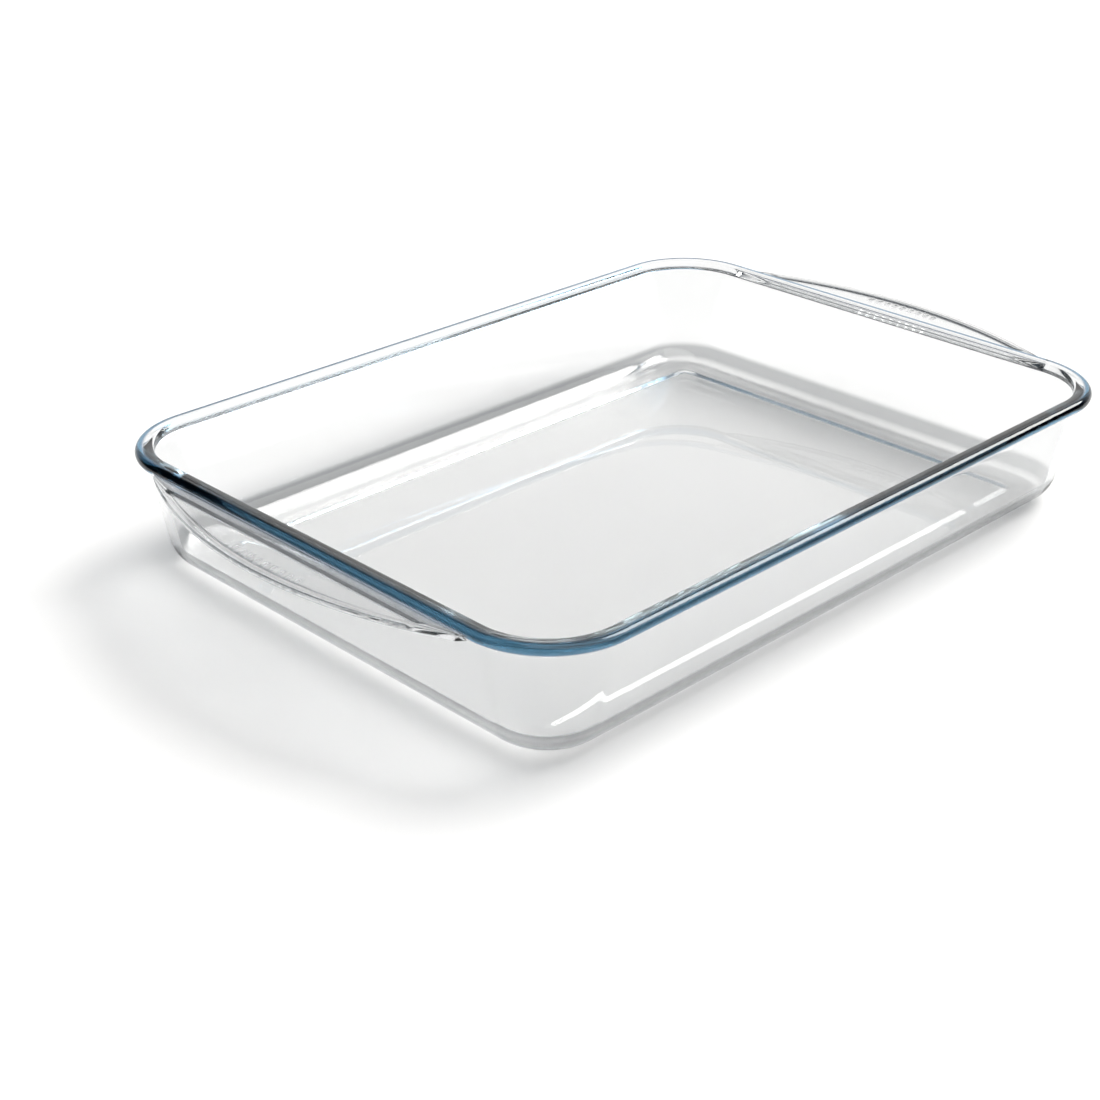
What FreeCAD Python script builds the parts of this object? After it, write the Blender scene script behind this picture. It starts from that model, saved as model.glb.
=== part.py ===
import FreeCAD, Part
import math
import os

import Sketcher
from FreeCAD import Placement, Rotation, Vector

# Rectangular glass oven dish, pressed in one piece, drawn as five solids that meet face to face:
# base, side_wall, rim, handle_left and handle_right. They are regions of one glass pressing, so
# nothing in it moves.
# Frame: +Z up, X along the dish, Y across it, origin in the middle of the underside.
# Millimetres and degrees. The section's sizes are measured inwards from the rim's outermost line.

DIMENSIONS = [
    # the rim's outermost line, seen from above
    ("rim_length", 361.0),
    ("rim_width", 262.0),
    ("rim_corner", 38.0),
    # section of the wall and the rim
    ("total_height", 54.0),
    ("rim_height", 5.2),
    ("rim_land", 8.6),
    ("lip_overhang", 3.9),
    ("rim_inner_radius", 2.0),
    ("wall_draft", 10.6),
    ("foot_inset", 25.2),
    ("base_thickness", 4.8),
    # shallow panel pressed into the underside, which leaves a foot all round
    ("foot_band", 8.0),
    ("foot_relief", 0.8),
    # handle: a flat crescent, its outer edge an arc that runs into the rim's corners
    ("handle_reach", 22.5),
    ("handle_radius", 205.0),
    ("handle_half_span", 98.0),
    ("handle_root", 3.0),
    ("handle_drop", 2.7),
    ("handle_thickness", 2.4),
    ("handle_edge", 1.1),
    # recess in the top of the handle, between the rim and a rounded outer bead
    ("recess_gap", 4.4),
    ("recess_reach", 19.0),
    ("recess_half_span", 76.0),
    ("recess_depth", 1.0),
    ("recess_underside_depth", 0.3),
    # short grip ribs on the recess's floor
    ("rib_reach", 17.0),
    ("rib_width", 1.6),
    ("rib_length", 4.5),
    ("rib_height", 0.5),
    ("rib_pitch", 4.6),
    ("rib_count", 9),
]


def add_dimensions(doc):
    """The spreadsheet that drives every sketch and feature."""
    sheet = doc.addObject("Spreadsheet::Sheet", "Dims")
    for row, (alias, value) in enumerate(DIMENSIONS, start=1):
        sheet.set(f"A{row}", alias)
        sheet.set(f"B{row}", str(value))
        sheet.setAlias(f"B{row}", alias)
    doc.recompute()
    return sheet


def add_body(doc, label):
    body = doc.addObject("PartDesign::Body", label)
    body.Label = label
    return body


def add_sketch(body, name, plane_role):
    """An empty sketch on one of the body's own origin planes."""
    sketch = body.newObject("Sketcher::SketchObject", name)
    plane = [f for f in body.Origin.OriginFeatures if f.Role == plane_role][0]
    sketch.AttachmentSupport = [(plane, "")]
    sketch.MapMode = "FlatFace"
    return sketch


def line(sketch, start_x, start_y, end_x, end_y):
    segment = Part.LineSegment(Vector(start_x, start_y, 0), Vector(end_x, end_y, 0))
    return sketch.addGeometry(segment)


def arc(sketch, centre_x, centre_y, radius, start_degrees, end_degrees):
    """A counter-clockwise arc: its point 1 is at start_degrees, its point 2 at end_degrees."""
    circle = Part.Circle(Vector(centre_x, centre_y, 0), Vector(0, 0, 1), radius)
    start, end = math.radians(start_degrees), math.radians(end_degrees)
    return sketch.addGeometry(Part.ArcOfCircle(circle, start, end))


def constrain(sketch, *args):
    return sketch.addConstraint(Sketcher.Constraint(*args))


def drive(sketch, name, expression, *args):
    """A named dimension bound to the spreadsheet."""
    sketch.renameConstraint(constrain(sketch, *args), name)
    sketch.setExpression(f"Constraints.{name}", expression)


def place_point(sketch, name, geometry, point, x, x_is, y, y_is):
    """Holds one point of the geometry at two distances from the sketch's origin."""
    drive(sketch, f"{name}_x", x_is, "DistanceX", -1, 1, geometry, point, x)
    drive(sketch, f"{name}_y", y_is, "DistanceY", -1, 1, geometry, point, y)


def rounded_rectangle(sketch, sizes, inset, inset_is):
    """The rim's outline moved inwards by an inset, its straight +X side split at the middle."""
    x = sizes["rim_length"] / 2 - inset
    y = sizes["rim_width"] / 2 - inset
    corner = sizes["rim_corner"] - inset
    parts = [
        line(sketch, x, 0, x, y - corner),
        arc(sketch, x - corner, y - corner, corner, 0, 90),
        line(sketch, x - corner, y, corner - x, y),
        arc(sketch, corner - x, y - corner, corner, 90, 180),
        line(sketch, -x, y - corner, -x, corner - y),
        arc(sketch, corner - x, corner - y, corner, 180, 270),
        line(sketch, corner - x, -y, x - corner, -y),
        arc(sketch, x - corner, corner - y, corner, 270, 360),
        line(sketch, x, corner - y, x, 0),
    ]
    for this, following in zip(parts[:-1], parts[1:]):
        constrain(sketch, "Tangent", this, 2, following, 1)
    constrain(sketch, "Coincident", parts[8], 2, parts[0], 1)
    constrain(sketch, "PointOnObject", parts[0], 1, -1)
    for upright in (parts[0], parts[4], parts[8]):
        constrain(sketch, "Vertical", upright)
    for level in (parts[2], parts[6]):
        constrain(sketch, "Horizontal", level)
    for other in (parts[3], parts[5], parts[7]):
        constrain(sketch, "Equal", parts[1], other)
    constrain(sketch, "Symmetric", parts[2], 1, parts[6], 1, -1, 1)
    length_is = f"Dims.rim_length / 2 - ({inset_is})"
    width_is = f"Dims.rim_width / 2 - ({inset_is})"
    drive(sketch, "half_length", length_is, "DistanceX", -1, 1, parts[0], 1, x)
    drive(sketch, "half_width", width_is, "DistanceY", -1, 1, parts[2], 1, y)
    drive(sketch, "corner", f"Dims.rim_corner - ({inset_is})", "Radius", parts[1], corner)


def sweep_round_rim(body, profile, sizes, name):
    """Sweeps a section once round the rim's outermost line."""
    spine = add_sketch(body, f"{name}Path", "XY_Plane")
    rounded_rectangle(spine, sizes, 0, "0")
    pipe = body.newObject("PartDesign::AdditivePipe", name)
    pipe.Profile = profile
    pipe.Spine = (spine, [])
    return pipe


def build_base(doc, sizes):
    """The flat floor, with a shallow panel pressed into its underside."""
    body = add_body(doc, "base")
    outline = add_sketch(body, "FloorOutline", "XY_Plane")
    rounded_rectangle(outline, sizes, sizes["foot_inset"], "Dims.foot_inset")
    slab = body.newObject("PartDesign::Pad", "FloorSlab")
    slab.Profile = outline
    slab.setExpression("Length", "Dims.base_thickness")
    body.Tip = slab
    doc.recompute()
    panel = add_sketch(body, "UndersidePanelOutline", "XY_Plane")
    panel_inset = sizes["foot_inset"] + sizes["foot_band"]
    rounded_rectangle(panel, sizes, panel_inset, "Dims.foot_inset + Dims.foot_band")
    relief = body.newObject("PartDesign::Pocket", "UndersidePanel")
    relief.Profile = panel
    relief.Reversed = True
    relief.setExpression("Length", "Dims.foot_relief")
    body.Tip = relief
    return body


def build_side_wall(doc, sizes):
    """The leaning wall with its rounded heel, from the floor's edge up to the rim."""
    body = add_body(doc, "side_wall")
    half = sizes["rim_length"] / 2
    foot = half - sizes["foot_inset"]
    floor = sizes["base_thickness"]
    top = sizes["total_height"] - sizes["rim_height"]
    outer_top = half - sizes["lip_overhang"]
    inner_top = half - sizes["rim_land"]
    lean = sizes["wall_draft"]
    outer_heel_guess, inner_heel_guess = 14.0, 9.5

    sketch = add_sketch(body, "WallSection", "XZ_Plane")
    floor_joint = line(sketch, foot, floor, foot, 0)
    outer_heel = arc(sketch, foot, outer_heel_guess, outer_heel_guess, -90, -lean)
    outer_face = line(sketch, foot + outer_heel_guess, outer_heel_guess, outer_top, top)
    rim_joint = line(sketch, outer_top, top, inner_top, top)
    inner_low = floor + inner_heel_guess
    inner_face = line(sketch, inner_top, top, foot + inner_heel_guess, inner_low)
    inner_heel = arc(sketch, foot, inner_low, inner_heel_guess, -90, -lean)

    constrain(sketch, "Vertical", floor_joint)
    constrain(sketch, "Coincident", floor_joint, 2, outer_heel, 1)
    constrain(sketch, "Tangent", outer_heel, 2, outer_face, 1)
    constrain(sketch, "Coincident", outer_face, 2, rim_joint, 1)
    constrain(sketch, "Horizontal", rim_joint)
    constrain(sketch, "Coincident", rim_joint, 2, inner_face, 1)
    constrain(sketch, "Tangent", inner_heel, 2, inner_face, 2)
    constrain(sketch, "Coincident", inner_heel, 1, floor_joint, 1)
    constrain(sketch, "Vertical", outer_heel, 3, outer_heel, 1)
    constrain(sketch, "Vertical", inner_heel, 3, inner_heel, 1)
    constrain(sketch, "Parallel", outer_face, inner_face)
    constrain(sketch, "PointOnObject", floor_joint, 2, -1)
    foot_is = "Dims.rim_length / 2 - Dims.foot_inset"
    outer_is = "Dims.rim_length / 2 - Dims.lip_overhang"
    inner_is = "Dims.rim_length / 2 - Dims.rim_land"
    top_is = "Dims.total_height - Dims.rim_height"
    place_point(sketch, "floor", floor_joint, 1, foot, foot_is, floor, "Dims.base_thickness")
    place_point(sketch, "outer_top", rim_joint, 1, outer_top, outer_is, top, top_is)
    drive(sketch, "inner_top", inner_is, "DistanceX", -1, 1, rim_joint, 2, inner_top)
    slope = math.radians(90 - lean)
    drive(sketch, "slope", "90 - Dims.wall_draft", "Angle", outer_face, slope)
    body.Tip = sweep_round_rim(body, sketch, sizes, "WallSweep")
    return body


def build_rim(doc, sizes, label):
    """The thick rounded lip: a half-round outer edge and a softened inner edge."""
    body = add_body(doc, label)
    half = sizes["rim_length"] / 2
    top = sizes["total_height"]
    bottom = top - sizes["rim_height"]
    lip = sizes["rim_height"] / 2
    nose = half - lip
    inner = half - sizes["rim_land"]
    edge = sizes["rim_inner_radius"]
    lean = sizes["wall_draft"]

    sketch = add_sketch(body, "RimSection", "XZ_Plane")
    underside = line(sketch, inner, bottom, nose, bottom)
    outer_lip = arc(sketch, nose, top - lip, lip, -90, 90)
    land = line(sketch, nose, top, inner + edge, top)
    inner_edge = arc(sketch, inner + edge, top - edge, edge, 90, 180 - lean)
    inner_face = line(sketch, inner, top - edge, inner, bottom)

    constrain(sketch, "Horizontal", underside)
    constrain(sketch, "Tangent", underside, 2, outer_lip, 1)
    constrain(sketch, "Tangent", outer_lip, 2, land, 1)
    constrain(sketch, "Horizontal", land)
    constrain(sketch, "Tangent", land, 2, inner_edge, 1)
    constrain(sketch, "Tangent", inner_edge, 2, inner_face, 1)
    constrain(sketch, "Coincident", inner_face, 2, underside, 1)
    inner_is = "Dims.rim_length / 2 - Dims.rim_land"
    bottom_is = "Dims.total_height - Dims.rim_height"
    nose_is = "Dims.rim_length / 2 - Dims.rim_height / 2"
    place_point(sketch, "inner", underside, 1, inner, inner_is, bottom, bottom_is)
    place_point(sketch, "land", land, 1, nose, nose_is, top, "Dims.total_height")
    drive(sketch, "edge", "Dims.rim_inner_radius", "Radius", inner_edge, edge)
    slope = math.radians(-90 - lean)
    drive(sketch, "slope", "-90 - Dims.wall_draft", "Angle", inner_face, slope)
    body.Tip = sweep_round_rim(body, sketch, sizes, "RimSweep")
    return body


def crescent(sketch, sizes):
    """Outline of a handle: a straight root inside the rim and a bulging arc with short ends."""
    root = sizes["rim_length"] / 2 - sizes["handle_root"]
    radius = sizes["handle_radius"]
    centre = sizes["rim_length"] / 2 + sizes["handle_reach"] - radius
    span = sizes["handle_half_span"]
    angle = math.asin(span / radius)
    arc_x = centre + radius * math.cos(angle)
    bulge = arc(sketch, centre, 0, radius, -math.degrees(angle), math.degrees(angle))
    upper_end = line(sketch, arc_x, span, root, span)
    root_side = line(sketch, root, span, root, -span)
    lower_end = line(sketch, root, -span, arc_x, -span)
    constrain(sketch, "Coincident", bulge, 2, upper_end, 1)
    constrain(sketch, "Coincident", upper_end, 2, root_side, 1)
    constrain(sketch, "Coincident", root_side, 2, lower_end, 1)
    constrain(sketch, "Coincident", lower_end, 2, bulge, 1)
    constrain(sketch, "PointOnObject", bulge, 3, -1)
    constrain(sketch, "Horizontal", upper_end)
    constrain(sketch, "Horizontal", lower_end)
    constrain(sketch, "Symmetric", root_side, 1, root_side, 2, -1)
    root_is = "Dims.rim_length / 2 - Dims.handle_root"
    centre_is = "Dims.handle_radius - Dims.rim_length / 2 - Dims.handle_reach"
    place_point(sketch, "end", root_side, 1, root, root_is, span, "Dims.handle_half_span")
    drive(sketch, "centre", centre_is, "DistanceX", bulge, 3, -1, 1, -centre)
    drive(sketch, "radius", "Dims.handle_radius", "Radius", bulge, radius)


def lens(sketch, sizes):
    """Outline of the recess: a straight side beside the rim and an arc ending in two points."""
    root = sizes["rim_length"] / 2 + sizes["recess_gap"]
    apex = sizes["rim_length"] / 2 + sizes["recess_reach"]
    span = sizes["recess_half_span"]
    sagitta = apex - root
    radius = (span**2 + sagitta**2) / (2 * sagitta)
    angle = math.degrees(math.asin(span / radius))
    bulge = arc(sketch, apex - radius, 0, radius, -angle, angle)
    root_side = line(sketch, root, span, root, -span)
    constrain(sketch, "Coincident", bulge, 2, root_side, 1)
    constrain(sketch, "Coincident", root_side, 2, bulge, 1)
    constrain(sketch, "PointOnObject", bulge, 3, -1)
    constrain(sketch, "Vertical", root_side)
    root_is = "Dims.rim_length / 2 + Dims.recess_gap"
    radius_is = (
        "(Dims.recess_half_span ^ 2 + (Dims.recess_reach - Dims.recess_gap) ^ 2)"
        " / (2 * (Dims.recess_reach - Dims.recess_gap))"
    )
    place_point(sketch, "end", root_side, 1, root, root_is, span, "Dims.recess_half_span")
    drive(sketch, "radius", radius_is, "Radius", bulge, radius)


def build_handle(doc, sizes, label, turn_degrees):
    """A flat crescent grip beyond one end of the rim, cut so that it meets the rim's surface."""
    blank = add_body(doc, f"{label}_blank")
    under_z = "Dims.total_height - Dims.handle_drop - Dims.handle_thickness"
    over_z = "Dims.total_height - Dims.handle_drop"
    floor_z = f"{over_z} - Dims.recess_depth"

    outline = add_sketch(blank, "CrescentOutline", "XY_Plane")
    outline.setExpression("AttachmentOffset.Base.z", under_z)
    crescent(outline, sizes)
    plate = blank.newObject("PartDesign::Pad", "CrescentPlate")
    plate.Profile = outline
    plate.setExpression("Length", "Dims.handle_thickness")
    blank.Tip = plate
    doc.recompute()

    bead = blank.newObject("PartDesign::Fillet", "OuterBead")
    outer_edges = [
        f"Edge{number}"
        for number, edge in enumerate(plate.Shape.Edges, start=1)
        if edge.Curve.TypeId == "Part::GeomCircle"
    ]
    bead.Base = (plate, outer_edges)
    bead.setExpression("Radius", "Dims.handle_edge")
    blank.Tip = bead
    doc.recompute()

    recess_outline = add_sketch(blank, "RecessOutline", "XY_Plane")
    recess_outline.setExpression("AttachmentOffset.Base.z", over_z)
    lens(recess_outline, sizes)
    recess = blank.newObject("PartDesign::Pocket", "Recess")
    recess.Profile = recess_outline
    recess.setExpression("Length", "Dims.recess_depth")
    blank.Tip = recess
    doc.recompute()

    underside_outline = add_sketch(blank, "UndersideRecessOutline", "XY_Plane")
    underside_outline.setExpression("AttachmentOffset.Base.z", under_z)
    lens(underside_outline, sizes)
    underside = blank.newObject("PartDesign::Pocket", "UndersideRecess")
    underside.Profile = underside_outline
    underside.Reversed = True
    underside.setExpression("Length", "Dims.recess_underside_depth")
    blank.Tip = underside
    doc.recompute()

    rib_outline = add_sketch(blank, "RibOutline", "XY_Plane")
    rib_outline.setExpression("AttachmentOffset.Base.z", floor_z)
    outer = sizes["rim_length"] / 2 + sizes["rib_reach"]
    inner = outer - sizes["rib_length"]
    first = -sizes["rib_pitch"] * (sizes["rib_count"] - 1) / 2
    low, high = first - sizes["rib_width"] / 2, first + sizes["rib_width"] / 2
    sides = [
        line(rib_outline, inner, low, outer, low),
        line(rib_outline, outer, low, outer, high),
        line(rib_outline, outer, high, inner, high),
        line(rib_outline, inner, high, inner, low),
    ]
    for this, following in zip(sides, sides[1:] + sides[:1]):
        constrain(rib_outline, "Coincident", this, 2, following, 1)
    constrain(rib_outline, "Horizontal", sides[0])
    constrain(rib_outline, "Horizontal", sides[2])
    constrain(rib_outline, "Vertical", sides[1])
    constrain(rib_outline, "Vertical", sides[3])
    outer_is = "Dims.rim_length / 2 + Dims.rib_reach"
    first_is = "Dims.rib_pitch * (Dims.rib_count - 1) / 2 + Dims.rib_width / 2"
    drive(rib_outline, "outer_x", outer_is, "DistanceX", -1, 1, sides[1], 1, outer)
    drive(rib_outline, "first_y", first_is, "DistanceY", sides[1], 1, -1, 1, -low)
    drive(rib_outline, "length", "Dims.rib_length", "DistanceX", sides[0], 1, sides[0], 2, outer - inner)
    drive(rib_outline, "width", "Dims.rib_width", "DistanceY", sides[1], 1, sides[1], 2, high - low)
    rib = blank.newObject("PartDesign::Pad", "Rib")
    rib.Profile = rib_outline
    rib.setExpression("Length", "Dims.rib_height")
    blank.Tip = rib
    doc.recompute()

    ribs = blank.newObject("PartDesign::LinearPattern", "Ribs")
    ribs.Originals = [rib]
    ribs.Direction = (rib_outline, ["V_Axis"])
    ribs.setExpression("Length", "Dims.rib_pitch * (Dims.rib_count - 1)")
    ribs.setExpression("Occurrences", "Dims.rib_count")
    blank.Tip = ribs
    blank.Placement = Placement(Vector(0, 0, 0), Rotation(Vector(0, 0, 1), turn_degrees))
    return blank


def cut_by_rim(doc, label, blank, rim):
    """The handle is its blank less the rim, so the two share one curved face."""
    handle = doc.addObject("Part::Cut", label)
    handle.Label = label
    handle.Base = blank
    handle.Tool = rim
    return handle


def check_document(doc, nodes):
    """Stops when any object has failed or any exported shape is not one valid solid."""
    for thing in doc.Objects:
        if "Invalid" in thing.State or "Error" in thing.State:
            raise RuntimeError(f"{thing.Label} did not compute")
    for node in nodes:
        shape = node.Shape
        if shape.isNull() or not shape.isValid() or len(shape.Solids) != 1:
            raise RuntimeError(f"{node.Label} is not one valid solid")


def main():
    os.makedirs("parts", exist_ok=True)
    doc = FreeCAD.newDocument("GlassDish")
    add_dimensions(doc)
    sizes = dict(DIMENSIONS)
    base = build_base(doc, sizes)
    side_wall = build_side_wall(doc, sizes)
    rim = build_rim(doc, sizes, "rim")
    left_blank = build_handle(doc, sizes, "handle_left", 180)
    right_blank = build_handle(doc, sizes, "handle_right", 0)
    doc.recompute()
    handle_left = cut_by_rim(doc, "handle_left", left_blank, rim)
    handle_right = cut_by_rim(doc, "handle_right", right_blank, rim)
    doc.recompute()
    nodes = [base, side_wall, rim, handle_left, handle_right]
    check_document(doc, nodes)
    for node in nodes:
        node.Shape.exportStep(f"parts/{node.Label}.step")
        box = node.Shape.BoundBox
        print(
            node.Label,
            f"{node.Shape.Volume / 1000:.1f} cm3",
            f"x {box.XMin:.2f} {box.XMax:.2f}",
            f"y {box.YMin:.2f} {box.YMax:.2f}",
            f"z {box.ZMin:.2f} {box.ZMax:.2f}",
        )


main()
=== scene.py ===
import math

import bpy
from mathutils import Matrix, Vector


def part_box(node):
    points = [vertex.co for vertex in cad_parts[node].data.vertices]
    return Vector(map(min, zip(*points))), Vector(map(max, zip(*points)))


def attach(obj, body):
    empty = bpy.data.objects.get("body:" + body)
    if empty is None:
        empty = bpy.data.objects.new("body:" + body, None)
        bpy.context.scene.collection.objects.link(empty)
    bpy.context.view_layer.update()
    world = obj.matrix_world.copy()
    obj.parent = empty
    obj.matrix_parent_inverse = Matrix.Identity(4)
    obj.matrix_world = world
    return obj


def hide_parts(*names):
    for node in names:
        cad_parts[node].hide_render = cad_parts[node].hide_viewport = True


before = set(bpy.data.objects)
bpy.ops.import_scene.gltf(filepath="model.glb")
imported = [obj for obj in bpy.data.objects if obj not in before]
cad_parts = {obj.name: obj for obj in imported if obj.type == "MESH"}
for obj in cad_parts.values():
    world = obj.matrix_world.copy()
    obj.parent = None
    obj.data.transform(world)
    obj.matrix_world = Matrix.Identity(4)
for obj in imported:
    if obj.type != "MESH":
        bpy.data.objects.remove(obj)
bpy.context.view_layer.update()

MM = 0.001

# ---------------------------------------------------------------------------------------------
# Sizes of the dish, in metres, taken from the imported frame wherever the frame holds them
# ---------------------------------------------------------------------------------------------

rim_low, rim_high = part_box("rim")
wall_low, wall_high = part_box("side_wall")
base_low, base_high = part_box("base")
grip_low, grip_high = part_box("handle_right")

RIM_LENGTH = rim_high.x - rim_low.x
RIM_WIDTH = rim_high.y - rim_low.y
RIM_TOP = rim_high.z
RIM_UNDER = rim_low.z
LIP_RADIUS = (RIM_TOP - RIM_UNDER) / 2
LIP_OVERHANG = rim_high.x - wall_high.x
FOOT_INSET = rim_high.x - base_high.x
FLOOR_TOP = base_high.z
GRIP_REACH = grip_high.x - rim_high.x
GRIP_TOP = grip_high.z
GRIP_UNDER = grip_low.z

RIM_CORNER = 38.0 * MM
RIM_LAND = 8.6 * MM
RIM_INNER_RADIUS = 2.0 * MM
RIM_CROWN = 0.25 * MM
WALL_DRAFT = math.radians(10.6)
LIP_FILLET = 1.0 * MM
FOOT_BAND = 8.0 * MM
FOOT_RELIEF = 0.8 * MM
FLOOR_RING = 9.0 * MM

GRIP_RADIUS = 205.0 * MM
GRIP_EDGE = 1.1 * MM
GRIP_FILLET = 0.7 * MM
RECESS_GAP = 4.4 * MM
RECESS_REACH = 19.0 * MM
RECESS_HALF_SPAN = 76.0 * MM
RECESS_DEPTH = 1.0 * MM
RECESS_EDGE = 0.8 * MM
RECESS_WIDTH_LEAST = 2.4 * MM
UNDER_RECESS_DEPTH = 0.3 * MM
RIB_COUNT = 9
RIB_PITCH = 4.6 * MM
RIB_HEIGHT = 0.5 * MM
RIB_SPAN = (12.5 * MM, 17.0 * MM)
RIB_END_FADE = 0.9 * MM

# how strongly painted shade shows, 0 to 1, and where: the navy band on the rim and the handles and
# the grey on the heel and the recess walls are painted shade, standing in for the dark reflections
# and shade in the thick glass
LAND_PAINTED_SHADE = {4: 0.4, 5: 0.9}
NOSE_PAINTED_SHADE_END = -35.0
NOSE_PAINTED_SHADE_FADE = 20.0
GRIP_FILLET_PAINTED_SHADE = 0.8
HEEL_SHADE = 0.68
HEEL_SHADE_SPAN = (1.5 * MM, 11.5 * MM)
HEEL_SHADE_FADE = 2.5 * MM
RECESS_INNER_SHADE = 0.85
RECESS_FLOOR_SHADE = 0.14
RECESS_OUTER_SHADE = 0.9
RECESS_BRIM_SHADE = 0.4

CORNER_STEPS = 22
END_STEP = 0.8 * MM
SIDE_STEP = 12.0 * MM


# ---------------------------------------------------------------------------------------------
# Section of the dish: one closed run of points from the middle of the floor round to the foot
# ---------------------------------------------------------------------------------------------

class Section:
    """Points of the section. Out is measured from the rim's outermost line, up from the table.

    Points on the lip also carry the place they move to where a handle grows out of the rim:
    grip_out + edge_share * (reach of the handle) + recess_share * (reach of its recess)."""

    FIELDS = ("out", "up", "grip", "grip_out", "grip_up", "edge_share", "recess_share",
              "sink", "rib", "rim_band", "grip_band", "heel_band", "wall_band")

    def __init__(self):
        self.rows = []

    def add(self, out, up, **values):
        row = dict.fromkeys(self.FIELDS, 0.0)
        row.update(out=out, up=up, **values)
        self.rows.append(row)


def clamped(value, low=0.0, high=1.0):
    return min(high, max(low, value))


def inside(value, span, fade):
    """1 well within the span, 0 outside it, with a straight fade at both ends."""
    return clamped(min(value - span[0], span[1] - value) / fade)


def arc_points(centre_out, centre_up, radius, start, end, count):
    """Points of an arc, both ends included; angles in degrees from the outward direction."""
    points = []
    for step in range(count + 1):
        angle = math.radians(start + (end - start) * step / count)
        points.append((centre_out + radius * math.cos(angle), centre_up + radius * math.sin(angle)))
    return points


def heel_radius(face_out, face_up, foot_out, foot_up):
    """Radius of the heel that leaves the foot level and runs into the leaning face."""
    run = face_out - foot_out
    rise = face_up - foot_up
    lean = math.tan(WALL_DRAFT)
    return (run - rise * lean) / (1 / math.cos(WALL_DRAFT) - lean)


def add_inside(section):
    """Floor, inner heel, inner face and the rim's inner edge."""
    foot = -FOOT_INSET
    for step in (1.0, 0.66, 0.33):
        section.add(foot - FLOOR_RING * step, FLOOR_TOP)
    radius = heel_radius(-RIM_LAND, RIM_UNDER, foot, FLOOR_TOP)
    lean = math.degrees(WALL_DRAFT)
    heel = arc_points(foot, FLOOR_TOP + radius, radius, -90, -lean, 14)
    for out, up in heel:
        section.add(out, up)
    low_out, low_up = heel[-1]
    for share in (0.2, 0.4, 0.6, 0.8, 0.93):
        section.add(low_out + (-RIM_LAND - low_out) * share, low_up + (RIM_UNDER - low_up) * share)
    top = RIM_TOP - RIM_CROWN
    edge_up = top - RIM_INNER_RADIUS
    edge_out = -RIM_LAND + (edge_up - RIM_UNDER) * math.tan(WALL_DRAFT)
    edge_out += RIM_INNER_RADIUS / math.cos(WALL_DRAFT)
    section.add(-RIM_LAND, RIM_UNDER)
    for out, up in arc_points(edge_out, edge_up, RIM_INNER_RADIUS, 180 - lean, 97, 9):
        section.add(out, up)
    return edge_out


def add_rim_top(section, edge_out):
    """The land on top of the rim, very slightly crowned."""
    lip_out = -LIP_RADIUS
    for step in range(1, 6):
        share = step / 6
        out = edge_out + (lip_out - edge_out) * share
        up = RIM_TOP - RIM_CROWN * (2 * share - 1) ** 2
        # painted shade on the outer steps of the land, part of the rim's painted dark band
        section.add(out, up, rim_band=LAND_PAINTED_SHADE.get(step, 0.0))


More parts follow.
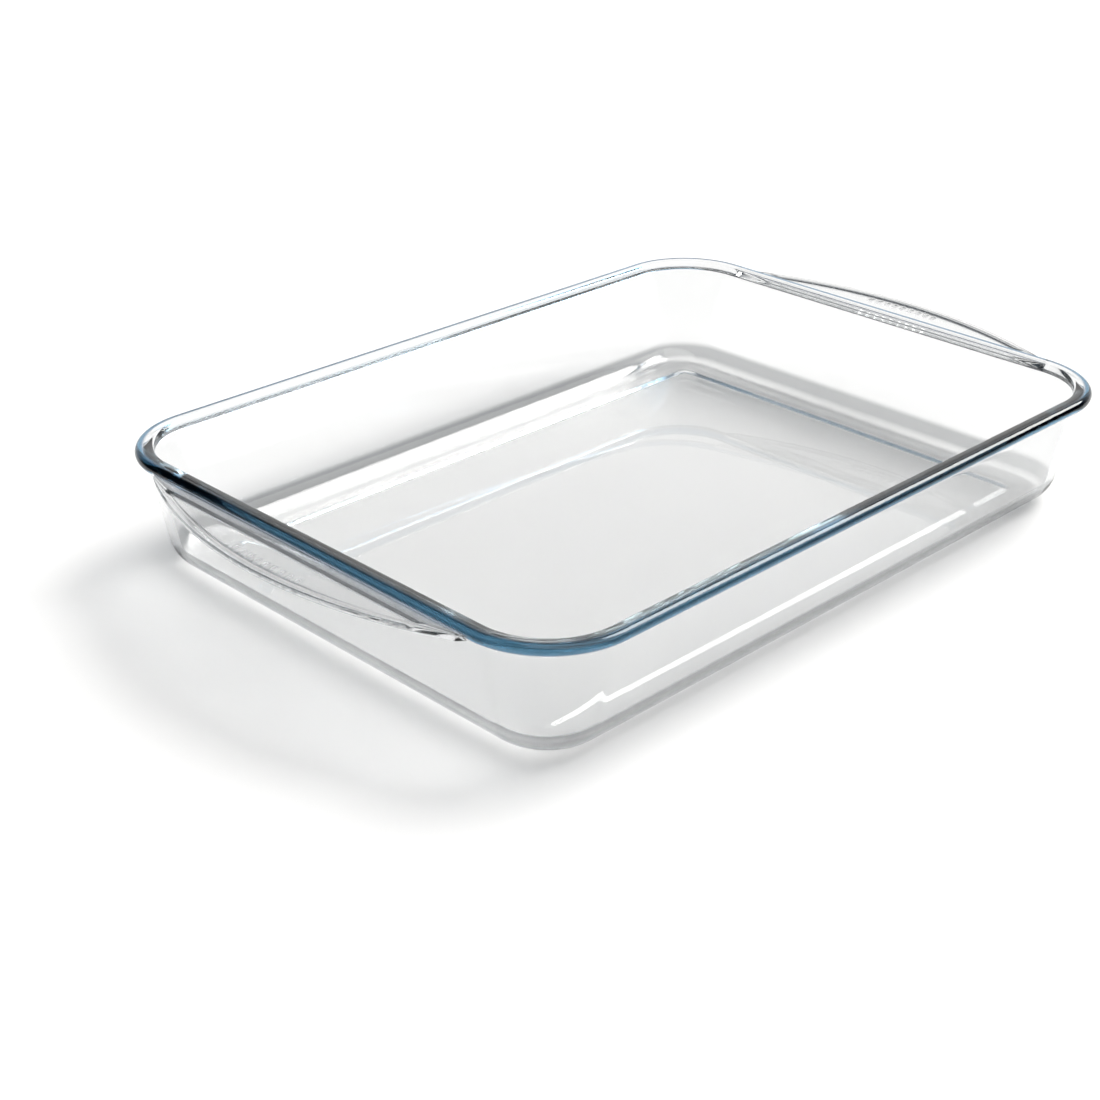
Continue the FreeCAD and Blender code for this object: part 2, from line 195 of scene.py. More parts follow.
def grip_course():
    """Where the lip's points go in a handle: nose, top ledge, recess, outer bead and underside.

    The first of each pair is the point's angle on the plain lip, None where it is spread out."""
    nose_up = RIM_TOP - LIP_RADIUS
    top_angle = math.degrees(math.asin((GRIP_TOP + GRIP_FILLET - nose_up) / LIP_RADIUS))
    under_angle = math.degrees(math.asin((GRIP_UNDER - nose_up) / LIP_RADIUS))
    course = []

    def nose(start, end, count, band):
        for step, (out, up) in enumerate(arc_points(-LIP_RADIUS, nose_up, LIP_RADIUS, start, end,
                                                    count)):
            angle = start + (end - start) * step / count
            course.append((angle, dict(grip_out=out, grip_up=up, grip_band=band)))

    def plate(out, up, **values):
        course.append((None, dict(grip_out=out, grip_up=up, **values)))

    # the last number is the painted shade of the nose: full above the ledge, none below
    nose(90, top_angle, 8, 1.0)
    nose_out = course[-1][1]["grip_out"]
    # painted shade on the fillet between the nose and the ledge
    for out, up in ((0.14, 0.45), (0.4, 0.16), (0.8, 0.03), (1.2, 0.0)):
        plate(nose_out + out * GRIP_FILLET, GRIP_TOP + up * GRIP_FILLET,
              grip_band=GRIP_FILLET_PAINTED_SHADE)
    edge = ((-0.6, 0), (-0.1, 0.03), (0.12, 0.14), (0.22, 0.4), (0.34, 0.74), (0.54, 0.93))
    # the recess rows carry painted shade: on its inner wall, faintly on its floor and darkest at its
    # outer wall
    for out, sink in edge:
        plate(RECESS_GAP + out * MM, GRIP_TOP, sink=sink * RECESS_DEPTH,
              wall_band=RECESS_INNER_SHADE)
    floor_steps = 15
    for step in range(floor_steps + 1):
        share = step / floor_steps
        in_by = RECESS_EDGE * (1 - 2 * share)
        reach = RECESS_GAP + in_by + (RECESS_REACH - RECESS_GAP) * share
        plate(RECESS_GAP + in_by, GRIP_TOP, recess_share=share, sink=RECESS_DEPTH,
              rib=inside(reach, RIB_SPAN, RIB_END_FADE),
              wall_band=clamped((share - 0.84) / 0.1, RECESS_FLOOR_SHADE, RECESS_OUTER_SHADE))
    for out, sink in reversed(edge):
        plate(RECESS_GAP - out * MM, GRIP_TOP, recess_share=1.0, sink=sink * RECESS_DEPTH,
              wall_band=RECESS_OUTER_SHADE if sink > 0.2 else RECESS_BRIM_SHADE)
    for out, up in arc_points(-GRIP_EDGE, GRIP_TOP - GRIP_EDGE, GRIP_EDGE, 90, 0, 6):
        plate(out, up, edge_share=1.0)
    for out, up in arc_points(-GRIP_EDGE, GRIP_UNDER + GRIP_EDGE, GRIP_EDGE, 0, -90, 6):
        plate(out, up, edge_share=1.0)
    under = ((-0.4, 0), (0.0, 0.12), (0.25, 0.5), (0.5, 0.88), (0.8, 1))
    for out, sink in under:
        plate(RECESS_GAP - out * MM, GRIP_UNDER, recess_share=1.0,
              sink=-sink * UNDER_RECESS_DEPTH)
    for share in (0.75, 0.5, 0.25):
        plate(RECESS_GAP + RECESS_EDGE * (1 - 2 * share), GRIP_UNDER, recess_share=share,
              sink=-UNDER_RECESS_DEPTH)
    for out, sink in reversed(under):
        plate(RECESS_GAP + out * MM, GRIP_UNDER, sink=-sink * UNDER_RECESS_DEPTH)
    nose(under_angle, -90, 3, 0.0)
    return course, top_angle, under_angle


def add_lip(section):
    """The half-round outer lip, which turns into the handles at the two ends."""
    course, top_angle, under_angle = grip_course()
    spread = sum(1 for angle, grip in course if angle is None) + 1
    nose_up = RIM_TOP - LIP_RADIUS
    placed = 0
    for angle, grip in course:
        if angle is None:
            placed += 1
            angle = top_angle + (under_angle - top_angle) * placed / spread
        turn = math.radians(angle)
        # painted shade on the upper part of the nose, fading out lower down
        section.add(-LIP_RADIUS + LIP_RADIUS * math.cos(turn), nose_up + LIP_RADIUS * math.sin(turn),
                    rim_band=clamped((angle - NOSE_PAINTED_SHADE_END) / NOSE_PAINTED_SHADE_FADE), grip=1.0, **grip)


def add_outside(section):
    """Outer face, outer heel, foot and the panel pressed into the underside."""
    lean = math.degrees(WALL_DRAFT)
    corner = -LIP_OVERHANG
    hollow_out = corner + LIP_FILLET * (1 - math.tan(WALL_DRAFT)) / math.cos(WALL_DRAFT)
    hollow_up = RIM_UNDER - LIP_FILLET
    for out, up in arc_points(hollow_out, hollow_up, LIP_FILLET, 90, 180 - lean, 5):
        section.add(out, up)
    foot = -FOOT_INSET
    radius = heel_radius(corner, RIM_UNDER, foot, 0)
    heel = arc_points(foot, radius, radius, -lean, -90, 18)
    low_out, low_up = heel[0]
    face_out, face_up = section.rows[-1]["out"], section.rows[-1]["up"]
    for share in (0.1, 0.3, 0.5, 0.7, 0.88):
        section.add(face_out + (low_out - face_out) * share, face_up + (low_up - face_up) * share)
    # painted shade on the lower outer heel, for the dark floor under the foot seen through it
    for out, up in heel:
        section.add(out, up, heel_band=HEEL_SHADE * inside(up, HEEL_SHADE_SPAN, HEEL_SHADE_FADE))
    section.add(foot - FOOT_BAND * 0.3, 0)
    band_end = foot - FOOT_BAND
    for run, rise in ((-1.6, 0.0), (-0.5, 0.08), (0.6, 0.28), (1.7, 0.6), (2.7, 0.88), (3.8, 1.0)):
        section.add(band_end - run * MM, rise * FOOT_RELIEF)


def dish_section():
    """The section as a mesh of edges, its points' values stored as attributes."""
    section = Section()
    edge_out = add_inside(section)
    add_rim_top(section, edge_out)
    add_lip(section)
    add_outside(section)
    rows = section.rows
    mesh = bpy.data.meshes.new("dish_section")
    places = [(row["out"], row["up"], 0) for row in rows]
    mesh.from_pydata(places, [(n, n + 1) for n in range(len(rows) - 1)], [])
    for field in Section.FIELDS:
        layer = mesh.attributes.new(field, "FLOAT", "POINT")
        layer.data.foreach_set("value", [row[field] for row in rows])
    return mesh, rows


# ---------------------------------------------------------------------------------------------
# Geometry Nodes: the section swept round the rim, with the handles and ribs as a rule
# ---------------------------------------------------------------------------------------------

class Tree:
    """Small helper that adds and joins nodes in one node tree."""

    def __init__(self, name, kind):
        self.group = bpy.data.node_groups.new(name, kind)
        self.nodes = self.group.nodes
        self.links = self.group.links

    def socket(self, name, kind, way="INPUT", value=None):
        made = self.group.interface.new_socket(name, in_out=way, socket_type=kind)
        if value is not None:
            made.default_value = value
        return made

    def add(self, kind, *feeds, out=0, **settings):
        """Adds a node; each feed goes to the input of the same number, None leaves it alone."""
        node = self.nodes.new(kind)
        for key, value in settings.items():
            setattr(node, key, value)
        for number, feed in enumerate(feeds):
            self.feed(node.inputs[number], feed)
        return node.outputs[out] if out is not None else node

    def feed(self, socket, feed):
        if feed is None:
            return
        if isinstance(feed, bpy.types.NodeSocket):
            self.links.new(feed, socket)
        else:
            socket.default_value = feed

    def maths(self, operation, *feeds):
        return self.add("ShaderNodeMath", *feeds, operation=operation)

    def vector(self, operation, *feeds):
        out = 1 if operation in ("LENGTH", "DOT_PRODUCT", "DISTANCE") else 0
        return self.add("ShaderNodeVectorMath", *feeds, operation=operation, out=out)

    def named(self, name, kind="FLOAT"):
        node = self.add("GeometryNodeInputNamedAttribute", out=None, data_type=kind)
        node.inputs["Name"].default_value = name
        return node.outputs["Attribute"]

    def store(self, geometry, name, value, kind="FLOAT"):
        node = self.add("GeometryNodeStoreNamedAttribute", out=None, data_type=kind, domain="POINT")
        self.feed(node.inputs["Geometry"], geometry)
        node.inputs["Name"].default_value = name
        self.feed(node.inputs["Value"], value)
        return node.outputs["Geometry"]

    def smooth(self, value, low, high):
        """0 below low, 1 above high and an S curve between them."""
        node = self.add("ShaderNodeMapRange", out=None, interpolation_type="SMOOTHSTEP")
        self.feed(node.inputs["Value"], value)
        node.inputs["From Min"].default_value = low
        node.inputs["From Max"].default_value = high
        return node.outputs["Result"]


def rim_path(tree, inputs):
    """The rim's outermost line, with short steps along the ends and long ones on the sides."""
    outline = tree.add("GeometryNodeCurvePrimitiveQuadrilateral", inputs["Rim Length"],
                       inputs["Rim Width"], mode="RECTANGLE")
    rounded = tree.add("GeometryNodeFilletCurve", out=None, mode="POLY")
    tree.feed(rounded.inputs["Curve"], outline)
    tree.feed(rounded.inputs["Count"], inputs["Corner Steps"])
    tree.feed(rounded.inputs["Radius"], inputs["Rim Corner"])
    rounded.inputs["Limit Radius"].default_value = True

    place = tree.add("GeometryNodeInputPosition")
    index = tree.add("GeometryNodeInputIndex")
    following = tree.add("GeometryNodeFieldAtIndex", out=None, data_type="FLOAT_VECTOR",
                         domain="POINT")
    total = tree.add("GeometryNodeAttributeDomainSize", out=None, component="CURVE")
    tree.feed(total.inputs[0], rounded.outputs[0])
    next_index = tree.maths("FLOORED_MODULO", tree.maths("ADD", index, 1.0),
                            total.outputs["Point Count"])
    tree.feed(following.inputs["Index"], next_index)
    tree.feed(following.inputs["Value"], place)
    run = tree.vector("SUBTRACT", following.outputs["Value"], place)
    length = tree.vector("LENGTH", run)
    along = tree.add("ShaderNodeSeparateXYZ", tree.vector("NORMALIZE", run), out=None)
    sideways = tree.maths("ABSOLUTE", along.outputs["X"])
    step = tree.add("ShaderNodeMapRange", out=None)
    tree.feed(step.inputs["Value"], sideways)
    tree.feed(step.inputs["To Min"], inputs["End Step"])
    tree.feed(step.inputs["To Max"], inputs["Side Step"])
    cuts = tree.maths("FLOOR", tree.maths("DIVIDE", length, step.outputs["Result"]))
    divided = tree.add("GeometryNodeSubdivideCurve", rounded.outputs[0], cuts)
    return divided


def handle_rule(tree, inputs, place):
    """Outward direction, handle reach and recess reach at each point of the rim's line."""
    half_size = tree.add("ShaderNodeCombineXYZ", tree.maths("MULTIPLY", inputs["Rim Length"], 0.5),
                         tree.maths("MULTIPLY", inputs["Rim Width"], 0.5), 0.0)
    corner = tree.add("ShaderNodeCombineXYZ", inputs["Rim Corner"], inputs["Rim Corner"], 0.0)
    centre_limit = tree.vector("SUBTRACT", half_size, corner)
    below = tree.vector("SCALE", centre_limit)
    tree.feed(below.node.inputs["Scale"], -1.0)
    spine = tree.vector("MINIMUM", tree.vector("MAXIMUM", place, below), centre_limit)
    outward = tree.vector("NORMALIZE", tree.vector("SUBTRACT", place, spine))

    parts = tree.add("ShaderNodeSeparateXYZ", place, out=None)
    side = tree.maths("SIGN", parts.outputs["X"])
    apex = tree.maths("ADD", tree.maths("MULTIPLY", inputs["Rim Length"], 0.5),
                      inputs["Handle Reach"])
    centre_x = tree.maths("MULTIPLY", side, tree.maths("SUBTRACT", apex, inputs["Handle Radius"]))
    from_centre = tree.vector("SUBTRACT", place, tree.add("ShaderNodeCombineXYZ", centre_x, 0.0, 0.0))
    along = tree.vector("DOT_PRODUCT", from_centre, outward)
    distance = tree.vector("LENGTH", from_centre)
    gap = tree.maths("SUBTRACT", tree.maths("MULTIPLY", distance, distance),
                     tree.maths("MULTIPLY", inputs["Handle Radius"], inputs["Handle Radius"]))
    root = tree.maths("SUBTRACT", tree.maths("MULTIPLY", along, along), gap)
    reach = tree.maths("SUBTRACT", tree.maths("SQRT", tree.maths("MAXIMUM", root, 0.0)), along)
    across = tree.maths("ABSOLUTE", parts.outputs["Y"])
    within = tree.maths("LESS_THAN", across, inputs["Handle Half Span"])
    reach = tree.maths("MULTIPLY", tree.maths("MAXIMUM", reach, 0.0), within)

    sagitta = tree.maths("SUBTRACT", inputs["Recess Reach"], inputs["Recess Gap"])
    span_squared = tree.maths("MULTIPLY", inputs["Recess Half Span"], inputs["Recess Half Span"])
    radius = tree.maths("DIVIDE", tree.maths("ADD", span_squared,
                                             tree.maths("MULTIPLY", sagitta, sagitta)),
                        tree.maths("MULTIPLY", sagitta, 2.0))
    across_squared = tree.maths("MULTIPLY", across, across)
    drop = tree.maths("SUBTRACT", tree.maths("MULTIPLY", radius, radius), across_squared)
    arc = tree.maths("SUBTRACT", tree.maths("SQRT", tree.maths("MAXIMUM", drop, 0.0)), radius)
    recess = tree.maths("ADD", arc, inputs["Recess Reach"])
    return outward, reach, recess, parts.outputs["Y"]


def rib_wave(tree, inputs, across):
    """1 on the crest of each rib and 0 between the ribs and beyond the last of them."""
    pitches = tree.maths("DIVIDE", across, inputs["Rib Pitch"])
    nearest = tree.maths("ROUND", pitches)
    off = tree.maths("ABSOLUTE", tree.maths("SUBTRACT", pitches, nearest))
    crest = tree.maths("SUBTRACT", 1.0, tree.smooth(off, 0.06, 0.3))
    last = tree.maths("MULTIPLY", inputs["Rib Count"], 0.5)
    within = tree.maths("LESS_THAN", tree.maths("ABSOLUTE", nearest), last)
    return tree.maths("MULTIPLY", crest, within)


def dish_tree():
    tree = Tree("sweep_dish", "GeometryNodeTree")
    tree.socket("Geometry", "NodeSocketGeometry")
    wanted = (
        ("Rim Length", "NodeSocketFloat"), ("Rim Width", "NodeSocketFloat"),
        ("Rim Corner", "NodeSocketFloat"), ("Corner Steps", "NodeSocketInt"),
        ("End Step", "NodeSocketFloat"), ("Side Step", "NodeSocketFloat"),
        ("Handle Reach", "NodeSocketFloat"), ("Handle Radius", "NodeSocketFloat"),
        ("Handle Half Span", "NodeSocketFloat"), ("Recess Gap", "NodeSocketFloat"),
        ("Recess Reach", "NodeSocketFloat"), ("Recess Half Span", "NodeSocketFloat"),
        ("Rib Count", "NodeSocketInt"), ("Rib Pitch", "NodeSocketFloat"),
        ("Rib Height", "NodeSocketFloat"), ("Floor Inset", "NodeSocketFloat"),
        ("Floor Height", "NodeSocketFloat"), ("Panel Inset", "NodeSocketFloat"),
        ("Panel Height", "NodeSocketFloat"), ("Material", "NodeSocketMaterial"),
    )
    for name, kind in wanted:
        tree.socket(name, kind)
    tree.socket("Geometry", "NodeSocketGeometry", way="OUTPUT")
    entry = tree.add("NodeGroupInput", out=None)
    inputs = {socket.name: socket for socket in entry.outputs if socket.name}

    path = rim_path(tree, inputs)
    outward, reach, recess, across = handle_rule(tree, inputs, tree.add("GeometryNodeInputPosition"))
    path = tree.store(path, "rim_place", tree.add("GeometryNodeInputPosition"), "FLOAT_VECTOR")
    path = tree.store(path, "outward", outward, "FLOAT_VECTOR")
    path = tree.store(path, "reach", reach)
    path = tree.store(path, "recess_width", tree.maths("SUBTRACT", recess, inputs["Recess Gap"]))
    path = tree.store(path, "rib_wave", rib_wave(tree, inputs, across))

    section = tree.add("GeometryNodeMeshToCurve", inputs["Geometry"])
    shell = tree.add("GeometryNodeCurveToMesh", path, section)

    # the recess never gets narrower than its rounded edges, its depth fades out instead
    wide_recess = tree.maths("MAXIMUM", tree.named("recess_width"), RECESS_WIDTH_LEAST)
    depth_share = tree.smooth(tree.named("recess_width"), -0.4 * MM, RECESS_WIDTH_LEAST)
    least_reach = RECESS_GAP + RECESS_WIDTH_LEAST + 2 * GRIP_EDGE
    wide_reach = tree.maths("MAXIMUM", tree.named("reach"), least_reach)
    squeeze = tree.maths("DIVIDE", tree.named("reach"), wide_reach)
    out = tree.maths("MULTIPLY_ADD", tree.named("edge_share"), wide_reach, tree.named("grip_out"))
    out = tree.maths("MULTIPLY_ADD", tree.named("recess_share"), wide_recess, out)
    out = tree.maths("ADD", tree.maths("MULTIPLY", tree.maths("MAXIMUM", out, 0.0), squeeze),
                     tree.maths("MINIMUM", out, 0.0))
    sunk = tree.maths("MULTIPLY", tree.named("sink"), depth_share)
    rib = tree.maths("MULTIPLY", tree.named("rib"), tree.named("rib_wave"))
    up = tree.maths("SUBTRACT", tree.named("grip_up"), sunk)
    up = tree.maths("MULTIPLY_ADD", rib, inputs["Rib Height"], up)
    blend = tree.maths("MULTIPLY", tree.smooth(tree.named("reach"), 0.0, 2.6 * MM),
                       tree.named("grip"))

    def mix(plain, gripped):
        node = tree.add("ShaderNodeMix", out=None, data_type="FLOAT")
        tree.feed(node.inputs["Factor"], blend)
        tree.feed(node.inputs["A"], plain)
        tree.feed(node.inputs["B"], gripped)
        return node.outputs["Result"]

    final_out = mix(tree.named("out"), out)
    final_up = mix(tree.named("up"), up)
    step_out = tree.vector("SCALE", tree.named("outward", "FLOAT_VECTOR"))
    tree.feed(step_out.node.inputs["Scale"], final_out)
    flat = tree.vector("ADD", tree.named("rim_place", "FLOAT_VECTOR"), step_out)
    place = tree.vector("ADD", flat, tree.add("ShaderNodeCombineXYZ", 0.0, 0.0, final_up))
    moved = tree.add("GeometryNodeSetPosition", out=None)
    tree.feed(moved.inputs["Geometry"], shell)
    tree.feed(moved.inputs["Position"], place)
    # painted shade kept on the mesh: navy on the rim and handles, grey on the heel and recess walls
    shade_painted = tree.store(moved.outputs["Geometry"], "painted_edge_shade",
                        mix(tree.named("rim_band"), tree.named("grip_band")))
    shade_painted = tree.store(shade_painted, "painted_grey_shade", mix(tree.named("heel_band"), tree.named("wall_band")))

    def sheet(inset, height):
        """A flat face that closes the floor or the underside inside the swept shell."""
        inward = tree.vector("SCALE", tree.named("outward", "FLOAT_VECTOR"))
        tree.feed(inward.node.inputs["Scale"], tree.maths("MULTIPLY", inset, -1.0))
        ring = tree.add("GeometryNodeSetPosition", out=None)
        tree.feed(ring.inputs["Geometry"], path)
        tree.feed(ring.inputs["Position"],
                  tree.vector("ADD", tree.named("rim_place", "FLOAT_VECTOR"), inward))
        filled = tree.add("GeometryNodeFillCurve", out=None, mode="NGONS")
        tree.feed(filled.inputs["Curve"], ring.outputs["Geometry"])
        raised = tree.add("GeometryNodeSetPosition", out=None)
        tree.feed(raised.inputs["Geometry"], filled.outputs["Mesh"])
        tree.feed(raised.inputs["Offset"], tree.add("ShaderNodeCombineXYZ", 0.0, 0.0, height))
        return raised.outputs["Geometry"]

    join = tree.add("GeometryNodeJoinGeometry", out=None)
    floor = sheet(inputs["Floor Inset"], inputs["Floor Height"])
    panel = tree.add("GeometryNodeFlipFaces", sheet(inputs["Panel Inset"], inputs["Panel Height"]))
    for part in (shade_painted, floor, panel):
        tree.links.new(part, join.inputs[0])
    welded = tree.add("GeometryNodeMergeByDistance", out=None)
    tree.feed(welded.inputs["Geometry"], join.outputs[0])
    welded.inputs["Distance"].default_value = 0.001 * MM
    merged = tree.add("GeometryNodeSetShadeSmooth", welded.outputs["Geometry"])
    real = tree.add("GeometryNodeRealizeInstances", merged)
    coated = tree.add("GeometryNodeSetMaterial", out=None)
    tree.feed(coated.inputs["Geometry"], real)
    tree.feed(coated.inputs["Material"], inputs["Material"])
    last = tree.add("NodeGroupOutput", out=None)
    tree.links.new(coated.outputs["Geometry"], last.inputs[0])
    return tree.group


def grow(name, mesh, group, values, material):
    """Runs the node tree on a mesh and keeps its result as a plain mesh object."""
    piece = bpy.data.objects.new(name, mesh)
    bpy.context.scene.collection.objects.link(piece)
    modifier = piece.modifiers.new("grow", "NODES")
    modifier.node_group = group
    for item in group.interface.items_tree:
        if item.in_out == "INPUT" and item.name in values:
            modifier[item.identifier] = values[item.name]
        if item.in_out == "INPUT" and item.name == "Material":
            modifier[item.identifier] = material
    bpy.context.view_layer.update()
    graph = bpy.context.evaluated_depsgraph_get()
    result = bpy.data.meshes.new_from_object(piece.evaluated_get(graph), depsgraph=graph)
    piece.modifiers.clear()
    piece.data = result
    result.name = name
    return piece


# ---------------------------------------------------------------------------------------------
# Materials
# ---------------------------------------------------------------------------------------------

def pressed_waviness():
    """Shader group: a normal with the slow waves and fine orange peel of pressed glass."""
    tree = Tree("pressed_waviness", "ShaderNodeTree")
    tree.socket("Wave Size", "NodeSocketFloat", value=28.0)
    tree.socket("Wave Height", "NodeSocketFloat", value=0.1)
    tree.socket("Peel Size", "NodeSocketFloat", value=260.0)
    tree.socket("Peel Height", "NodeSocketFloat", value=0.006)
    tree.socket("Height", "NodeSocketFloat", way="OUTPUT")
    entry = tree.add("NodeGroupInput", out=None)
    last = tree.add("NodeGroupOutput", out=None)
    place = tree.add("ShaderNodeTexCoord", out=None).outputs["Object"]
    layers = []
    for size, height in (("Wave Size", "Wave Height"), ("Peel Size", "Peel Height")):
        noise = tree.add("ShaderNodeTexNoise", out=None)
        tree.feed(noise.inputs["Vector"], place)
        tree.feed(noise.inputs["Scale"], entry.outputs[size])
        noise.inputs["Detail"].default_value = 1.0
        layers.append(tree.maths("MULTIPLY", noise.outputs["Fac"], entry.outputs[height]))
    tree.links.new(tree.maths("ADD", *layers), last.inputs["Height"])
    return tree.group


CLEAR_TINT = (0.925, 0.928, 0.93, 1)
# painted shade colours: navy on the rim and handles for their dark reflections, near black on the
# heel and recess walls
NAVY_PAINTED_SHADE = (0.015, 0.085, 0.19, 1)
GREY_PAINTED_SHADE = (0.02, 0.03, 0.04, 1)


def paint_shade_by(nodes, links, attribute, plain, shade_painted):
    """Colour that goes from plain to a painted shade colour where the mesh's attribute says so."""
    share = nodes.new("ShaderNodeAttribute")
    share.attribute_name = attribute
    blend = nodes.new("ShaderNodeMix")
    blend.data_type = "RGBA"
    links.new(share.outputs["Fac"], blend.inputs["Factor"])
    if isinstance(plain, bpy.types.NodeSocket):
        links.new(plain, blend.inputs["A"])
    else:
        blend.inputs["A"].default_value = plain
    blend.inputs["B"].default_value = shade_painted
    return blend.outputs["Result"]


def clear_glass():
    """Clear glass with painted navy shade on the rim's nose and painted grey shade on the heel and
    recess walls.
    """
    material = bpy.data.materials.new("clear_pressed_glass")
    material.use_nodes = True
    nodes, links = material.node_tree.nodes, material.node_tree.links
    shader = nodes["Principled BSDF"]
    shader.inputs["Transmission Weight"].default_value = 1.0
    shader.inputs["Roughness"].default_value = 0.0
    shader.inputs["IOR"].default_value = 1.474
    waves = nodes.new("ShaderNodeGroup")
    waves.node_tree = pressed_waviness()
    bump = nodes.new("ShaderNodeBump")
    bump.inputs["Strength"].default_value = 0.06
    bump.inputs["Distance"].default_value = 0.001
    links.new(waves.outputs["Height"], bump.inputs["Height"])
    links.new(bump.outputs["Normal"], shader.inputs["Normal"])
    # painted shade over the clear glass colour: navy on the rim and handles, grey on the heel and
    # recess walls
    colour = paint_shade_by(nodes, links, "painted_edge_shade", CLEAR_TINT, NAVY_PAINTED_SHADE)
    colour = paint_shade_by(nodes, links, "painted_grey_shade", colour, GREY_PAINTED_SHADE)
    links.new(colour, shader.inputs["Base Color"])

    output = nodes["Material Output"]
    depth = nodes.new("ShaderNodeVolumeAbsorption")
    depth.inputs["Color"].default_value = (0.1, 0.3, 0.38, 1)
    depth.inputs["Density"].default_value = 2.5
    links.new(depth.outputs["Volume"], output.inputs["Volume"])

    # shadow rays pass a third of the light at each surface, so the shadows stay soft and pale
    passing = nodes.new("ShaderNodeBsdfTransparent")
    passing.inputs["Color"].default_value = (0.33, 0.33, 0.33, 1)
    path = nodes.new("ShaderNodeLightPath")
    either = nodes.new("ShaderNodeMixShader")
    links.new(path.outputs["Is Shadow Ray"], either.inputs[0])
    links.new(shader.outputs["BSDF"], either.inputs[1])
    links.new(passing.outputs["BSDF"], either.inputs[2])
    links.new(either.outputs["Shader"], output.inputs["Surface"])
    return material


# ---------------------------------------------------------------------------------------------
# The dish
# ---------------------------------------------------------------------------------------------

section_mesh, section_rows = dish_section()
glass = clear_glass()
corner_x = RIM_LENGTH / 2 - RIM_CORNER - (RIM_LENGTH / 2 + GRIP_REACH - GRIP_RADIUS)
corner_y = RIM_WIDTH / 2 - RIM_CORNER
grip_half_span = GRIP_RADIUS * corner_y / math.hypot(corner_x, corner_y)
dish = grow("glass_dish", section_mesh, dish_tree(), {
    "Rim Length": RIM_LENGTH, "Rim Width": RIM_WIDTH, "Rim Corner": RIM_CORNER,
    "Corner Steps": CORNER_STEPS, "End Step": END_STEP, "Side Step": SIDE_STEP,
    "Handle Reach": GRIP_REACH, "Handle Radius": GRIP_RADIUS, "Handle Half Span": grip_half_span,
    "Recess Gap": RECESS_GAP, "Recess Reach": RECESS_REACH, "Recess Half Span": RECESS_HALF_SPAN,
    "Rib Count": RIB_COUNT, "Rib Pitch": RIB_PITCH, "Rib Height": RIB_HEIGHT,
    "Floor Inset": -section_rows[0]["out"], "Floor Height": FLOOR_TOP,
    "Panel Inset": -section_rows[-1]["out"], "Panel Height": FOOT_RELIEF,
}, glass)
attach(dish, "root")
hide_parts("base", "side_wall", "rim", "handle_left", "handle_right")


# ---------------------------------------------------------------------------------------------
# Floor, light and camera
# ---------------------------------------------------------------------------------------------

def plain_floor():
    """A pale floor turned 45 degrees, a hair under the foot so that the two never touch."""
    mesh = bpy.data.meshes.new("studio_floor")
    half, front, back = 4.0, -0.39, 6.0
    under = -0.3 * MM
    turn = Matrix.Rotation(math.radians(45), 3, "Z")
    corners = [(front, -half, under), (back, -half, under), (back, half, under),
               (front, half, under)]
    mesh.from_pydata([turn @ Vector(corner) for corner in corners], [], [(0, 1, 2, 3)])
    floor = bpy.data.objects.new("studio_floor", mesh)
    bpy.context.scene.collection.objects.link(floor)
    paint = bpy.data.materials.new("white_floor")
    paint.use_nodes = True
    shader = paint.node_tree.nodes["Principled BSDF"]
    shader.inputs["Base Color"].default_value = (0.9, 0.9, 0.9, 1)
    shader.inputs["Roughness"].default_value = 0.9
    shader.inputs["Specular IOR Level"].default_value = 0.0
    mesh.materials.append(paint)
    return floor


def sun_light(name, place, spread, strength):
    """Even light from one side, as soft as a lamp that spans that many degrees."""
    light = bpy.data.lights.new(name, "SUN")
    light.angle = math.radians(spread)
    light.energy = strength
    light.color = (1.0, 0.985, 0.96)
    lamp = bpy.data.objects.new(name, light)
    bpy.context.scene.collection.objects.link(lamp)
    lamp.rotation_euler = (-Vector(place)).to_track_quat("-Z", "Y").to_euler()
    return lamp


BACKDROP_WAY = (0.612, 0.612, -0.5)
STUDIO_DARK = (0.012, 0.026, 0.045, 1)
WHITE = (1, 1, 1, 1)


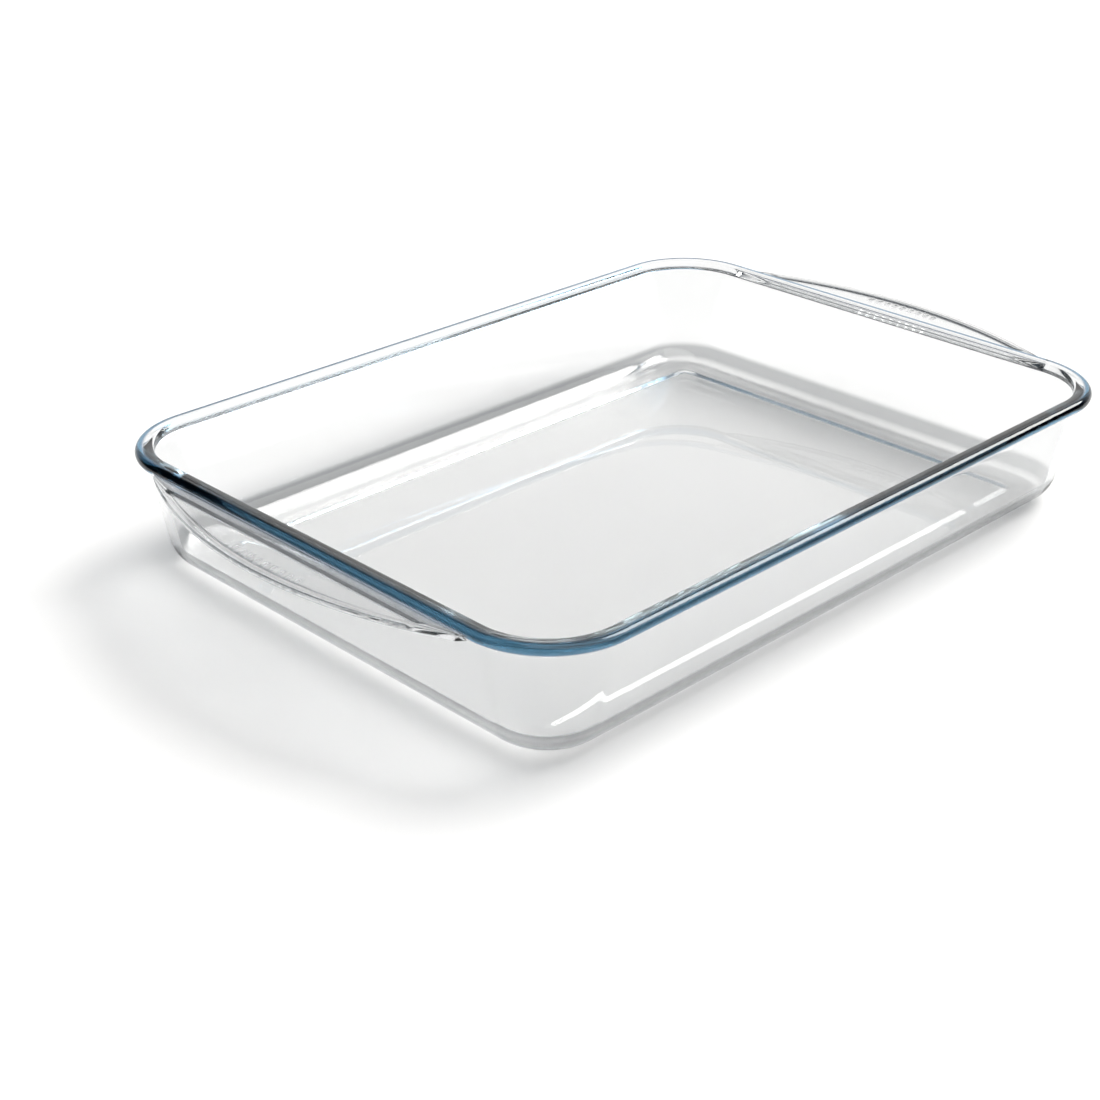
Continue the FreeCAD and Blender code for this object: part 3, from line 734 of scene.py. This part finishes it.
def studio_world():
    """A white backdrop beyond the dish and a dark blue studio on the near side."""
    world = bpy.data.worlds.new("studio")
    bpy.context.scene.world = world
    world.use_nodes = True
    nodes, links = world.node_tree.nodes, world.node_tree.links
    back = nodes["Background"]
    way = nodes.new("ShaderNodeTexCoord")
    ahead = nodes.new("ShaderNodeVectorMath")
    ahead.operation = "DOT_PRODUCT"
    ahead.inputs[1].default_value = BACKDROP_WAY
    links.new(way.outputs["Generated"], ahead.inputs[0])
    ramp = nodes.new("ShaderNodeValToRGB")
    ramp.color_ramp.elements[0].position = 0.62
    ramp.color_ramp.elements[0].color = STUDIO_DARK
    ramp.color_ramp.elements[1].position = 0.80
    ramp.color_ramp.elements[1].color = WHITE
    spread = nodes.new("ShaderNodeMapRange")
    spread.inputs["From Min"].default_value = -1.0
    links.new(ahead.outputs["Value"], spread.inputs["Value"])
    links.new(spread.outputs["Result"], ramp.inputs["Fac"])
    seen = nodes.new("ShaderNodeMix")
    seen.data_type = "RGBA"
    path = nodes.new("ShaderNodeLightPath")
    links.new(path.outputs["Is Camera Ray"], seen.inputs["Factor"])
    links.new(ramp.outputs["Color"], seen.inputs["A"])
    seen.inputs["B"].default_value = WHITE
    links.new(seen.outputs["Result"], back.inputs["Color"])
    back.inputs["Strength"].default_value = 1.0


EYE_PLACE = (-0.5633, -0.5148, 0.3749)
EYE_YAW = math.radians(44.99)
EYE_PITCH = math.radians(27.02)
EYE_ROLL = math.radians(0.37)


def camera():
    lens = bpy.data.cameras.new("camera")
    lens.lens = 63.28
    lens.sensor_width = 36.0
    eye = bpy.data.objects.new("camera", lens)
    bpy.context.scene.collection.objects.link(eye)
    level = math.cos(EYE_PITCH)
    ahead = Vector((math.cos(EYE_YAW) * level, math.sin(EYE_YAW) * level, -math.sin(EYE_PITCH)))
    right = Vector((math.sin(EYE_YAW), -math.cos(EYE_YAW), 0))
    above = right.cross(ahead)
    across = right * math.cos(EYE_ROLL) + above * math.sin(EYE_ROLL)
    upright = above * math.cos(EYE_ROLL) - right * math.sin(EYE_ROLL)
    turn = Matrix((across, upright, -ahead)).transposed()
    eye.matrix_world = Matrix.Translation(EYE_PLACE) @ turn.to_4x4()
    bpy.context.scene.camera = eye


plain_floor()
studio_world()
sun_light("key", (1.1, -0.15, 1.1), 34.0, 2.95)
sun_light("overhead", (0.5, -0.7, 1.7), 80.0, 1.9)
camera()
bpy.context.scene.view_settings.view_transform = "Standard"

# light crosses many faces of the rim and the handles before it gets out again
GLASS_BOUNCES = 20
bpy.context.scene.cycles.max_bounces = GLASS_BOUNCES
bpy.context.scene.cycles.transmission_bounces = GLASS_BOUNCES
bpy.context.scene.cycles.glossy_bounces = GLASS_BOUNCES
